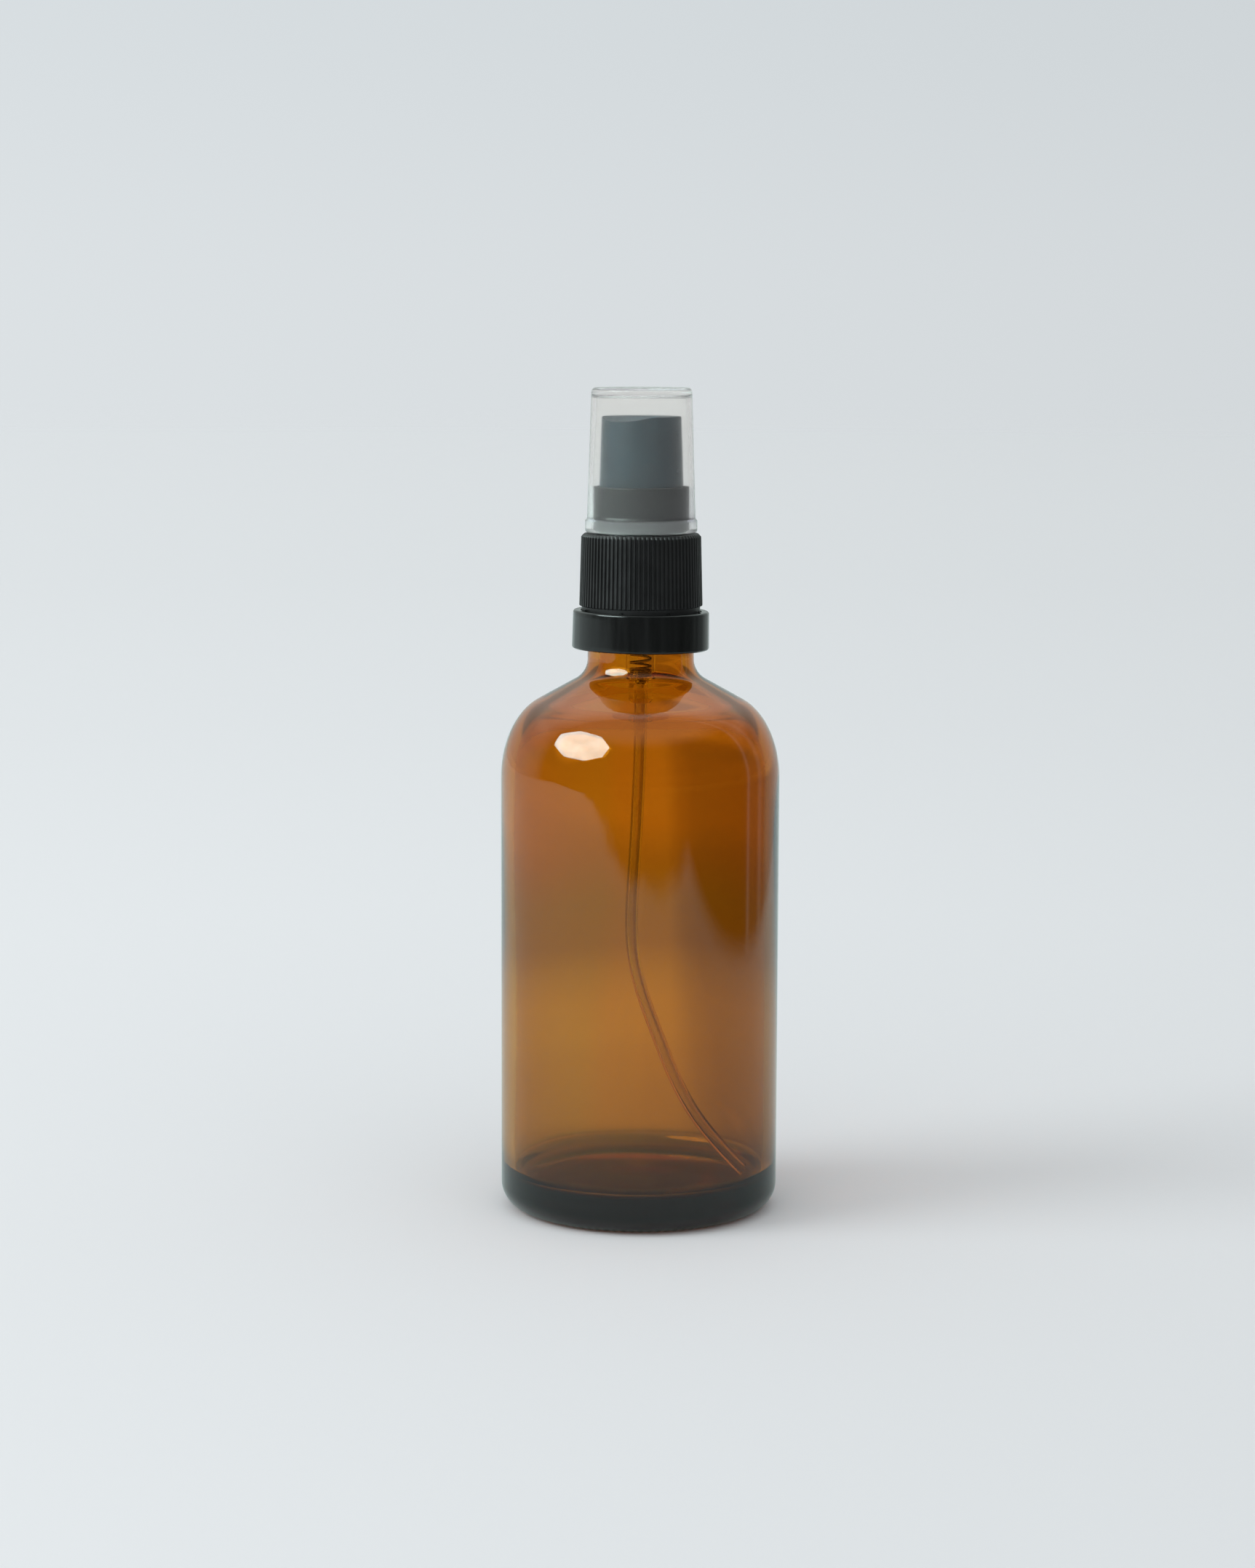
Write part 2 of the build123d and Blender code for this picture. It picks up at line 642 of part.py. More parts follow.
def spray_passages():
    """The way for the spray through the button: stem socket, feed, channel and nozzle seat."""
    front_y = ACTUATOR_LOW_R + OVERSHOOT
    socket = disc(SOCKET_R, POST_LOW_Z - OVERSHOOT, SOCKET_TOP_Z)
    feed = disc(FEED_R, STEM_TOP_Z, FEED_TOP_Z)
    seat = bore_along_y(NOZZLE_BORE_R, NOZZLE_BORE_Y, front_y, NOZZLE_Z)
    rim = bore_along_y(NOZZLE_RIM_R, NOZZLE_FACE_Y, front_y, NOZZLE_Z)
    channel_z = NOZZLE_Z + (NOZZLE_BORE_R + NOZZLE_PIN_R) / 2
    channel = bore_along_y(FEED_R / 2, 0, NOZZLE_BORE_Y + OVERLAP, channel_z)
    return socket + feed + seat + rim + channel


def make_nozzle_insert():
    length = NOZZLE_FACE_Y - INSERT_BACK_Y
    cup = disc(INSERT_R, 0, length)
    cup = chamfer(circles_at(cup, length), INSERT_CHAMFER)
    cup -= disc(INSERT_BORE_R, -OVERSHOOT, INSERT_BORE_DEPTH)
    cup -= disc(SWIRL_R, 0, INSERT_BORE_DEPTH + SWIRL_DEPTH)
    cup -= disc(ORIFICE_R, 0, length + OVERSHOOT)
    for i in range(FLUTE_COUNT):
        flute = Pos(INSERT_BORE_R, 0, 0) * disc(FLUTE_R, -OVERSHOOT, INSERT_BORE_DEPTH)
        cup -= Rot(0, 0, i * 360 / FLUTE_COUNT) * flute
    return Pos(0, -INSERT_BACK_Y, NOZZLE_Z) * Rot(90, 0, 0) * cup


def make_overcap():
    mouth_r = CAP_BORE_LOW_R + CAP_LEAD_IN_WIDTH
    outside = turned_points(
        (0, CAP_LOW_Z),
        (CAP_LIP_R, CAP_LOW_Z),
        (CAP_LIP_R, CAP_LIP_TOP_Z),
        (CAP_LOW_R, CAP_LIP_TOP_Z + CAP_LIP_SLOPE),
        (CAP_TOP_R, CAP_TOP_Z),
        (0, CAP_TOP_Z),
    )
    outside = fillet(circles_at(outside, CAP_TOP_Z), CAP_ROUND)
    inside = turned_points(
        (0, CAP_LOW_Z - OVERSHOOT),
        (mouth_r, CAP_LOW_Z - OVERSHOOT),
        (mouth_r, CAP_LOW_Z),
        (CAP_BORE_LOW_R, CAP_LOW_Z + CAP_LEAD_IN_HEIGHT),
        (CAP_BORE_LOW_R, TOWER_TOP_Z),
        (CAP_BORE_TOP_R, CAP_CEILING_Z),
        (0, CAP_CEILING_Z),
    )
    inside = fillet(circles_at(inside, CAP_CEILING_Z), CAP_BORE_ROUND)
    return outside - inside


PARTS = {
    "bottle": make_bottle,
    "tamper_ring": make_tamper_ring,
    "screw_closure": make_screw_closure,
    "neck_gasket": make_neck_gasket,
    "pump_housing": make_pump_housing,
    "turret": make_turret,
    "check_ball": make_check_ball,
    "dip_tube": make_dip_tube,
    "stem": make_stem,
    "valve_rod": make_valve_rod,
    "piston": make_piston,
    "main_spring": make_main_spring,
    "actuator": make_actuator,
    "nozzle_insert": make_nozzle_insert,
    "overcap": make_overcap,
}

os.makedirs("parts", exist_ok=True)
for node, make in PARTS.items():
    shape = make()
    shape.label = node
    export_step(shape, f"parts/{node}.step")
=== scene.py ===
"""Looks for the spray bottle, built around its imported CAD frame.

Metres. +Z runs up the bottle's axis from the plane it stands on, and the nozzle faces -Y.
Places come from the CAD nodes' boxes. The other sizes are the named values below.
"""

import math

import bpy
from mathutils import Matrix, Vector


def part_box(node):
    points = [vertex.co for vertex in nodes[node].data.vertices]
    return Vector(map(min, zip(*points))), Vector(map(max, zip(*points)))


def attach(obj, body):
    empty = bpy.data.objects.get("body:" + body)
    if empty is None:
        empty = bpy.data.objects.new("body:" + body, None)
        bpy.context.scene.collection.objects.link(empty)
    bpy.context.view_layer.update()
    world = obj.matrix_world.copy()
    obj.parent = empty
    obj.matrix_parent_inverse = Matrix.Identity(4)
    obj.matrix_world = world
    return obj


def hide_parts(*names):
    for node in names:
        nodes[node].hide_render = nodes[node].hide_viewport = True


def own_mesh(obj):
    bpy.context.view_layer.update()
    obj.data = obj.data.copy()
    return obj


MM = 0.001
TAU = 2 * math.pi

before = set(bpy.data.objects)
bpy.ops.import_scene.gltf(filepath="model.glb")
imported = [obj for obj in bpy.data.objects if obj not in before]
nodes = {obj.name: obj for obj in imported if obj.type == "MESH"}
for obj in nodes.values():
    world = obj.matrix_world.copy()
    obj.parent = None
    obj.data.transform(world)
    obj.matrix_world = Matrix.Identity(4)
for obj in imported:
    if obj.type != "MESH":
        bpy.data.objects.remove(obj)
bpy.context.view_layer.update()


def low(node):
    """Lowest height of a CAD node."""
    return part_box(node)[0].z


def top(node):
    """Highest height of a CAD node."""
    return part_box(node)[1].z


def reach(node):
    """Outer radius of a CAD node that is round about Z."""
    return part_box(node)[1].x


# ---------------------------------------------------------------- sizes

# Bottle
BODY_R = reach("bottle")
LIP_Z = top("bottle")
WALL = 2.2 * MM
HEEL_R = 4.3 * MM
BEARING_WIDTH = 1.8 * MM
PUSH_UP = 1.2 * MM
FLOOR_Z = 5.6 * MM
FLOOR_DOME = 0.8 * MM
# Painted shade: how much the glass colour is darkened near the bottle's floor, for the shade under the base.
PAINTED_BASE_SHADE = (0.3, 0.5, 0.6)
INNER_HEEL_R = 2.4 * MM
SHOULDER_Z = LIP_Z - 37.7 * MM
SHOULDER_RUN = 9.3 * MM
SHOULDER_RISE = 13.9 * MM
SHOULDER_END = math.radians(69.6)
NECK_R = 8.9 * MM
NECK_FILLET_R = 3.9 * MM
NECK_BORE_R = 6.9 * MM
LIP_BORE_R = 6.0 * MM
FINISH_R = 8.1 * MM
BEAD_R = 9.7 * MM
BEAD_LOW_Z = LIP_Z - 13.3 * MM
BEAD_HIGH_Z = LIP_Z - 11.5 * MM

# Thread
PITCH = 3.0 * MM
THREAD_Z = LIP_Z - 7.8 * MM
THREAD_TURNS = 1.75
THREAD_HEIGHT = 0.85 * MM
THREAD_HALF_ROOT = 0.875 * MM
THREAD_HALF_CREST = 0.425 * MM
THREAD_FADE_TURNS = 0.07
INNER_THREAD_TURNS = 1.0

# Closure
CLOSURE_LOW_Z = low("screw_closure")
TOWER_TOP_Z = top("screw_closure")
RIB_LOW_Z = CLOSURE_LOW_Z + 1.1 * MM
CLOSURE_TOP_Z = CLOSURE_LOW_Z + 13.15 * MM
RIB_LOW_R = reach("screw_closure")
RIB_TOP_R = RIB_LOW_R - 0.3 * MM
RIB_COUNT = 82
RIB_DEPTH = 0.32 * MM
BAND_R = RIB_LOW_R - 0.4 * MM
CLOSURE_BORE_R = 9.1 * MM
DECK_UNDERSIDE_Z = CLOSURE_TOP_Z - 1.15 * MM
TURRET_SEAT_Z = CLOSURE_TOP_Z - 0.05 * MM
TURRET_SEAT_R = 6.25 * MM
TURRET_HOLE_R = 4.95 * MM
TOWER_FLOOR_Z = CLOSURE_TOP_Z + 1.15 * MM
TOWER_R = 8.0 * MM
TOWER_BORE_R = 7.3 * MM
GRIP_BEAD_Z = CLOSURE_TOP_Z + 2.45 * MM

# Tamper ring
RING_TILT = math.radians(0.8)
RING_LOW_SIDE = math.radians(215)
RING_MID = Vector((0, 0, 98.4 * MM))
RING_HALF = 3.2 * MM
RING_LOW_R = 11.48 * MM
RING_TOP_R = 11.38 * MM
RING_BORE_R = 10.1 * MM
RING_LIP_R = 9.35 * MM
BRIDGE_COUNT = 8
BRIDGE_FIRST = math.radians(106)
BRIDGE_HALF_WIDTH = 0.36 * MM
BRIDGE_HEIGHT = 0.3 * MM

# Overcap
CAP_LOW_Z = low("overcap")
CAP_TOP_Z = top("overcap")
CAP_LIP_R = reach("overcap")
CAP_LIP_HEIGHT = 1.85 * MM
CAP_LOW_R = 9.05 * MM
CAP_TOP_R = 8.35 * MM
CAP_BORE_LOW_R = 8.2 * MM
CAP_BORE_TOP_R = 7.5 * MM
CAP_CEILING = 1.2 * MM

# Spring
SPRING_LOW_Z = low("main_spring")
SPRING_TOP_Z = top("main_spring")
WIRE_R = 0.21 * MM
COIL_R = reach("main_spring") - WIRE_R
CLOSED_PITCH = 0.44 * MM
CLOSED_TURNS_LOW = 4.0
CLOSED_TURNS_TOP = 1.5
ACTIVE_TURNS = 10.0

# The photograph's camera
CAMERA_AZIMUTH = math.radians(215)
CAMERA_REACH = 582.4 * MM
CAMERA_HEIGHT = 150.6 * MM
CAMERA_PITCH = math.radians(7.66)
CAMERA_ROLL = math.radians(0.23)
CAMERA_LENS_MM = 80.15
CAMERA_SHIFT_X = -0.0081

# ---------------------------------------------------------------- outlines and meshes


def rounded(points, step, arc_steps=6):
    """Turns (radius, height, fillet) corners into a smooth open outline with edges no longer than step."""
    corners = [(Vector((r, z)), f) for r, z, f in points]
    path = [corners[0][0]]
    for (a, _), (b, fillet), (c, _) in zip(corners, corners[1:], corners[2:]):
        path += fillet_arc(a, b, c, fillet, arc_steps)
    path.append(corners[-1][0])
    return subdivided(path, step)


def fillet_arc(a, b, c, fillet, steps):
    """Points of the arc of radius fillet that rounds corner b between a and c."""
    back = (a - b).normalized()
    on = (c - b).normalized()
    half = math.acos(max(-1, min(1, back.dot(on)))) / 2
    if fillet <= 0 or abs(half - math.pi / 2) < 1e-4:
        return [b]
    run = fillet / math.tan(half)
    centre = b + (back + on).normalized() * (fillet / math.sin(half))
    start = b + back * run - centre
    turn = math.pi - 2 * half
    sign = 1 if back.x * on.y - back.y * on.x < 0 else -1
    arc = []
    for i in range(steps + 1):
        angle = sign * turn * i / steps
        cos, sin = math.cos(angle), math.sin(angle)
        arc.append(centre + Vector((start.x * cos - start.y * sin, start.x * sin + start.y * cos)))
    return arc


def subdivided(path, step):
    """The same path with points added so that no edge is longer than step."""
    out = [path[0]]
    for a, b in zip(path, path[1:]):
        pieces = max(1, math.ceil((b - a).length / step))
        out += [a.lerp(b, i / pieces) for i in range(1, pieces + 1)]
    return out


def lathe(name, outline, segments, shape=None, closed=True):
    """A smooth mesh turned about Z. shape(angle, r, z, i) moves point i of the outline at each angle.

    A closed outline joins its last point to its first. An open one starts and ends on the axis.
    """
    verts, rings = [], []
    for i, (r, z) in enumerate(outline):
        if r < 1e-9:
            rings.append([len(verts)] * segments)
            verts.append((0, 0, z))
            continue
        rings.append(list(range(len(verts), len(verts) + segments)))
        for j in range(segments):
            angle = TAU * j / segments
            rr, zz = shape(angle, r, z, i) if shape else (r, z)
            verts.append((rr * math.cos(angle), rr * math.sin(angle), zz))
    pairs = list(zip(rings, rings[1:]))
    if closed:
        pairs.append((rings[-1], rings[0]))
    faces = []
    for a, b in pairs:
        for j in range(segments):
            k = (j + 1) % segments
            face = (a[j], a[k], b[k], b[j])
            faces.append([v for n, v in enumerate(face) if v != face[n - 1]])
    return mesh_piece(name, verts, faces)


def mesh_piece(name, verts, faces):
    """A mesh object with smooth faces whose normals point outwards."""
    mesh = bpy.data.meshes.new(name)
    mesh.from_pydata(verts, [], faces)
    mesh.validate()
    mesh.shade_smooth()
    piece = bpy.data.objects.new(name, mesh)
    bpy.context.scene.collection.objects.link(piece)
    face_outwards(piece)
    return piece


def face_outwards(piece):
    """Flips every face of a closed mesh whose signed volume is negative."""
    mesh = piece.data
    volume = 0
    for face in mesh.polygons:
        a = mesh.vertices[face.vertices[0]].co
        for m, n in zip(face.vertices[1:], face.vertices[2:]):
            volume += a.dot(mesh.vertices[m].co.cross(mesh.vertices[n].co))
    if volume < 0:
        mesh.flip_normals()


def crease(piece, degrees=35):
    """Keeps edges sharper than an angle crisp."""
    piece.data.set_sharp_from_angle(angle=math.radians(degrees))


def stands_for(piece, node, body):
    """Puts a new piece in a CAD node's place."""
    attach(piece, body)
    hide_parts(node)
    return piece


def wave(angle, *terms):
    """A fixed sum of sines round the circle: each term is (count, size, phase)."""
    return sum(size * math.sin(count * angle + phase) for count, size, phase in terms)


# ---------------------------------------------------------------- materials


def material(name):
    """A new node material with its Principled shader, ready to be fed."""
    mat = bpy.data.materials.new(name)
    mat.use_nodes = True
    return mat, mat.node_tree, mat.node_tree.nodes["Principled BSDF"]


def add(tree, kind, **values):
    """A node with its inputs and settings given by name."""
    node = tree.nodes.new(kind)
    for key, value in values.items():
        if key in node.inputs:
            node.inputs[key].default_value = value
        else:
            setattr(node, key, value)
    return node


def coordinates(tree, scale=(1, 1, 1)):
    """Object coordinates, stretched by scale."""
    where = add(tree, "ShaderNodeTexCoord")
    mapping = add(tree, "ShaderNodeMapping")
    mapping.inputs["Scale"].default_value = scale
    tree.links.new(where.outputs["Object"], mapping.inputs["Vector"])
    return mapping.outputs["Vector"]


def noise(tree, vector, per_metre, detail=3):
    """Fractal noise with features of about 1 / per_metre metres."""
    texture = add(tree, "ShaderNodeTexNoise", Scale=per_metre, Detail=detail)
    tree.links.new(vector, texture.inputs["Vector"])
    return texture.outputs["Fac"]


def ramp(tree, factor, stops):
    """A colour ramp over factor: stops are (position, grey or colour)."""
    node = add(tree, "ShaderNodeValToRGB")
    elements = node.color_ramp.elements
    while len(elements) < len(stops):
        elements.new(0.5)
    for element, (position, value) in zip(elements, stops):
        element.position = position
        colour = (value,) * 3 if isinstance(value, float) else value
        element.color = (*colour, 1)
    tree.links.new(factor, node.inputs["Fac"])
    return node.outputs["Color"]


def bump(tree, shader, height, strength, distance):
    """Feeds a height into the shader's normal."""
    node = add(tree, "ShaderNodeBump", Strength=strength, Distance=distance)
    tree.links.new(height, node.inputs["Height"])
    tree.links.new(node.outputs["Normal"], shader.inputs["Normal"])


def amber_glass():
    """Clear amber glass: tinted where it is entered, and darker with depth, with faint mould waves. Near its
    floor the colour is darkened as painted shade for the shade under the base.
    """
    mat, tree, shader = material("amber_glass")
    shader.inputs["Transmission Weight"].default_value = 1
    shader.inputs["IOR"].default_value = 1.52
    shader.inputs["Roughness"].default_value = 0.015
    waves = noise(tree, coordinates(tree, (1, 1, 0.35)), 55, 1)
    tint = ramp(tree, waves, [(0.3, (0.862, 0.598, 0.18)), (0.7, (0.882, 0.620, 0.205))])
    height = along(tree, add(tree, "ShaderNodeTexCoord").outputs["Object"], UP)
    # Painted shade: the glass colour darkens near the floor.
    base = blended(tree, eased(tree, height, FLOOR_Z + FLOOR_DOME, FLOOR_Z + 3 * MM), PAINTED_BASE_SHADE, (1, 1, 1))
    tree.links.new(product(tree, tint, base), shader.inputs["Base Color"])
    bump(tree, shader, waves, 0.06, 1 * MM)
    depth = add(tree, "ShaderNodeVolumeAbsorption", Color=(0.923, 0.782, 0.36, 1), Density=1000)
    out = tree.nodes["Material Output"]
    tree.links.new(depth.outputs["Volume"], out.inputs["Volume"])
    return mat


def moulded_plastic(name, colour, roughness, grain=0.02, specular=0.5):
    """Solid moulded plastic: a faint tone drift, fine grain in the gloss, and a soft surface texture."""
    mat, tree, shader = material(name)
    vector = coordinates(tree)
    drift = noise(tree, vector, 180, 2)
    paler = tuple(min(1, c * 1.25 + 0.002) for c in colour)
    tree.links.new(ramp(tree, drift, [(0.35, colour), (0.7, paler)]), shader.inputs["Base Color"])
    gloss = noise(tree, vector, 900, 4)
    stops = [(0.3, max(0.02, roughness - 0.06)), (0.75, roughness + 0.08)]
    tree.links.new(ramp(tree, gloss, stops), shader.inputs["Roughness"])
    shader.inputs["Specular IOR Level"].default_value = specular
    bump(tree, shader, noise(tree, vector, 4200, 3), grain, 0.05 * MM)
    return mat


def ring_plastic():
    """The tamper ring's smooth black plastic, with uneven upright flow marks that break up highlights."""
    mat, tree, shader = material("ring_black")
    streaks = noise(tree, coordinates(tree, (1, 1, 0.06)), 900, 3)
    tree.links.new(ramp(tree, streaks, [(0.35, 0.16), (0.7, 0.26)]), shader.inputs["Roughness"])
    bump(tree, shader, streaks, 0.12, 0.05 * MM)
    tone = ramp(tree, streaks, [(0.3, (0.006, 0.0065, 0.0062)), (0.75, (0.009, 0.0095, 0.009))])
    tree.links.new(tone, shader.inputs["Base Color"])
    return mat


def clear_plastic(name, colour, clearness, roughness, cloud=0.05, ior=1.49, grain=0.03):
    """Natural plastic that lets most light through and scatters the rest as a pale haze."""
    mat, tree, shader = material(name)
    vector = coordinates(tree)
    haze = noise(tree, vector, 260, 2)
    paler = tuple(min(1, c + cloud) for c in colour)
    tree.links.new(ramp(tree, haze, [(0.3, colour), (0.7, paler)]), shader.inputs["Base Color"])
    shader.inputs["Transmission Weight"].default_value = clearness
    shader.inputs["Roughness"].default_value = roughness
    shader.inputs["IOR"].default_value = ior
    bump(tree, shader, noise(tree, vector, 700, 2), grain, 0.1 * MM)
    return mat


def steel():
    """Drawn stainless wire, with fine lines along it."""
    mat, tree, shader = material("steel")
    shader.inputs["Metallic"].default_value = 1
    lines = noise(tree, coordinates(tree, (1, 1, 6)), 1500, 3)
    tone = ramp(tree, lines, [(0.3, (0.42, 0.41, 0.39)), (0.7, (0.62, 0.61, 0.58))])
    tree.links.new(tone, shader.inputs["Base Color"])
    tree.links.new(ramp(tree, lines, [(0.3, 0.18), (0.7, 0.34)]), shader.inputs["Roughness"])
    bump(tree, shader, lines, 0.1, 0.02 * MM)
    return mat


# ---------------------------------------------------------------- pieces


def thread_bump(angle, z, first_z, turns):
    """From 0 to 1, how far a right-hand thread stands out at one angle and height."""
    turn = angle / TAU
    turn += round((z - first_z) / PITCH - turn)
    turn = max(0.0, min(turns, turn))
    away = abs(z - first_z - PITCH * turn)
    flank = (THREAD_HALF_ROOT - away) / (THREAD_HALF_ROOT - THREAD_HALF_CREST)
    ends = min(turn, turns - turn) / THREAD_FADE_TURNS
    flank, ends = max(0.0, min(1.0, flank)), max(0.0, min(1.0, ends))
    return flank * flank * (3 - 2 * flank) * ends


def shoulder_points(inset, steps=18):
    """The elliptical part of the shoulder, pulled in by inset, and where its straight run is heading."""
    run, rise = SHOULDER_RUN - inset, SHOULDER_RISE - inset
    centre = BODY_R - SHOULDER_RUN
    points = []
    for i in range(steps + 1):
        angle = SHOULDER_END * i / steps
        points.append(Vector((centre + run * math.cos(angle), SHOULDER_Z + rise * math.sin(angle))))
    heading = Vector((-run * math.sin(SHOULDER_END), rise * math.cos(SHOULDER_END)))
    return points, heading


def neck_run(inset, neck_r, fillet, top_z, step):
    """From the shoulder's arc up the neck: a straight run, a fillet and the neck wall."""
    points, heading = shoulder_points(inset)
    start = points[-1]
    corner_z = start.y + heading.y * (neck_r - start.x) / heading.x
    run = rounded([(*start, 0), (neck_r, corner_z, fillet), (neck_r, top_z, 0)], step, 14)
    return points + run[1:]


def bottle_outline():
    """The outside from the middle of the base to the lip, then the inside down to the middle of the floor."""
    heel_in = BODY_R - HEEL_R
    ring_in = heel_in - BEARING_WIDTH
    base = [(0, PUSH_UP, 0), (ring_in * 0.6, PUSH_UP * 0.7, 30 * MM), (ring_in, 0, 1.2 * MM)]
    base += [(BODY_R, 0, HEEL_R), (BODY_R, SHOULDER_Z, 0)]
    outside = rounded(base, 2.5 * MM, 12)[:-1]
    outside += neck_run(0, NECK_R, NECK_FILLET_R, BEAD_LOW_Z - 0.2 * MM, 0.8 * MM)
    finish = [(NECK_R, BEAD_LOW_Z - 0.2 * MM, 0), (NECK_R, BEAD_LOW_Z, 0.1 * MM)]
    finish += [(BEAD_R, BEAD_LOW_Z + 0.4 * MM, 0.35 * MM), (BEAD_R, BEAD_HIGH_Z - 0.8 * MM, 0.35 * MM)]
    finish += [(FINISH_R, BEAD_HIGH_Z, 0.3 * MM), (FINISH_R, LIP_Z, 0.6 * MM)]
    finish += [(LIP_BORE_R, LIP_Z, 0.5 * MM), (LIP_BORE_R, BEAD_HIGH_Z + 1.5 * MM, 2 * MM)]
    finish += [(NECK_BORE_R, BEAD_LOW_Z, 0)]
    outside += rounded(finish, 0.16 * MM, 5)[1:]
    inside = neck_run(WALL, NECK_BORE_R, NECK_FILLET_R + WALL, BEAD_LOW_Z, 0.8 * MM)[::-1]
    inner_r = BODY_R - WALL
    floor = [(inner_r, SHOULDER_Z, 0), (inner_r, FLOOR_Z, INNER_HEEL_R)]
    floor += [(inner_r * 0.5, FLOOR_Z + FLOOR_DOME * 0.6, 30 * MM), (0, FLOOR_Z + FLOOR_DOME, 0)]
    return outside + inside[1:] + rounded(floor, 2.5 * MM, 12)[1:]


def make_bottle(glass):
    outline = bottle_outline()
    lip = max(range(len(outline)), key=lambda i: outline[i][1])
    knurl_low, knurl_high = BODY_R - HEEL_R - BEARING_WIDTH, BODY_R - HEEL_R * 0.5

    def shape(angle, r, z, i):
        if i < lip and z > BEAD_HIGH_Z:
            r += THREAD_HEIGHT * thread_bump(angle, z, THREAD_Z, THREAD_TURNS)
        elif i < lip and z < 1.2 * MM and knurl_low < r < knurl_high:
            z += 0.06 * MM * (1 + math.cos(angle * 90))
        elif i > lip and FLOOR_Z + INNER_HEEL_R < z < SHOULDER_Z:
            fade = min(1, (z - FLOOR_Z - INNER_HEEL_R) / (8 * MM), (SHOULDER_Z - z) / (8 * MM))
            r += fade * 0.12 * MM * wave(angle + 18 * z, (2, 0.6, 0.4), (3, 0.5, 1.9), (5, 0.25, 4.0))
        return r, z

    piece = lathe("amber_bottle", outline, 360, shape, closed=False)
    piece.data.materials.append(glass)
    return stands_for(piece, "bottle", "bottle")


def tooth(angle):
    """From 0 in a groove to 1 on a rib's crest."""
    share = (angle * RIB_COUNT / TAU) % 1
    away = min(share, 1 - share)
    rise = max(0.0, min(1.0, (0.33 - away) / 0.16))
    return rise * rise * (3 - 2 * rise)


def make_closure(plastic):
    chamfer = 0.5 * MM
    outside = [(BAND_R - 0.1 * MM, CLOSURE_LOW_Z, 0), (BAND_R, CLOSURE_LOW_Z, 0.12 * MM)]
    outside += [(BAND_R, RIB_LOW_Z - 0.06 * MM, 0.05 * MM), (RIB_LOW_R, RIB_LOW_Z + 0.08 * MM, 0.08 * MM)]
    outside += [
        (RIB_TOP_R, CLOSURE_TOP_Z - chamfer, 0.1 * MM),
        (RIB_TOP_R - chamfer, CLOSURE_TOP_Z, 0.08 * MM),
    ]
    outside += [(TOWER_R, CLOSURE_TOP_Z, 0.25 * MM), (TOWER_R, GRIP_BEAD_Z - 0.4 * MM, 0.1 * MM)]
    outside += [(TOWER_R + 0.14 * MM, GRIP_BEAD_Z - 0.1 * MM, 0.1 * MM)]
    outside += [(TOWER_R + 0.14 * MM, GRIP_BEAD_Z + 0.1 * MM, 0.1 * MM)]
    outside += [(TOWER_R, GRIP_BEAD_Z + 0.4 * MM, 0.1 * MM), (TOWER_R, TOWER_TOP_Z, 0.22 * MM)]
    inside = [(TOWER_BORE_R, TOWER_TOP_Z, 0.22 * MM), (TOWER_BORE_R, TOWER_FLOOR_Z, 0.3 * MM)]
    inside += [(TURRET_HOLE_R, TOWER_FLOOR_Z, 0.1 * MM), (TURRET_HOLE_R, TURRET_SEAT_Z, 0.05 * MM)]
    inside += [(TURRET_SEAT_R, TURRET_SEAT_Z, 0.05 * MM), (TURRET_SEAT_R, DECK_UNDERSIDE_Z, 0.05 * MM)]
    inside += [(CLOSURE_BORE_R, DECK_UNDERSIDE_Z, 0.1 * MM)]
    smooth = rounded(outside + inside, 0.9 * MM, 4)
    threaded = rounded([(*smooth[-1], 0), (CLOSURE_BORE_R, CLOSURE_LOW_Z, 0.1 * MM),
                        (BAND_R - 0.1 * MM, CLOSURE_LOW_Z, 0)], 0.2 * MM, 3)
    outline = smooth + threaded[1:-1]
    rim = max(range(len(smooth)), key=lambda i: outline[i][1])

    def shape(angle, r, z, i):
        if i < rim and RIB_LOW_Z < z < CLOSURE_TOP_Z + 0.01 * MM and r > RIB_TOP_R - chamfer * 1.02:
            groove_r = RIB_LOW_R - (z - RIB_LOW_Z) * 0.026 - RIB_DEPTH
            r = min(r, groove_r + (max(r, groove_r) - groove_r) * tooth(angle))
        elif i >= len(smooth):
            first_z = THREAD_Z + PITCH / 2
            r -= THREAD_HEIGHT * thread_bump(angle, z, first_z, INNER_THREAD_TURNS)
        return r, z

    piece = lathe("ribbed_closure", outline, RIB_COUNT * 12, shape)
    crease(piece, 50)
    piece.data.materials.append(plastic)
    return stands_for(piece, "screw_closure", "closure")


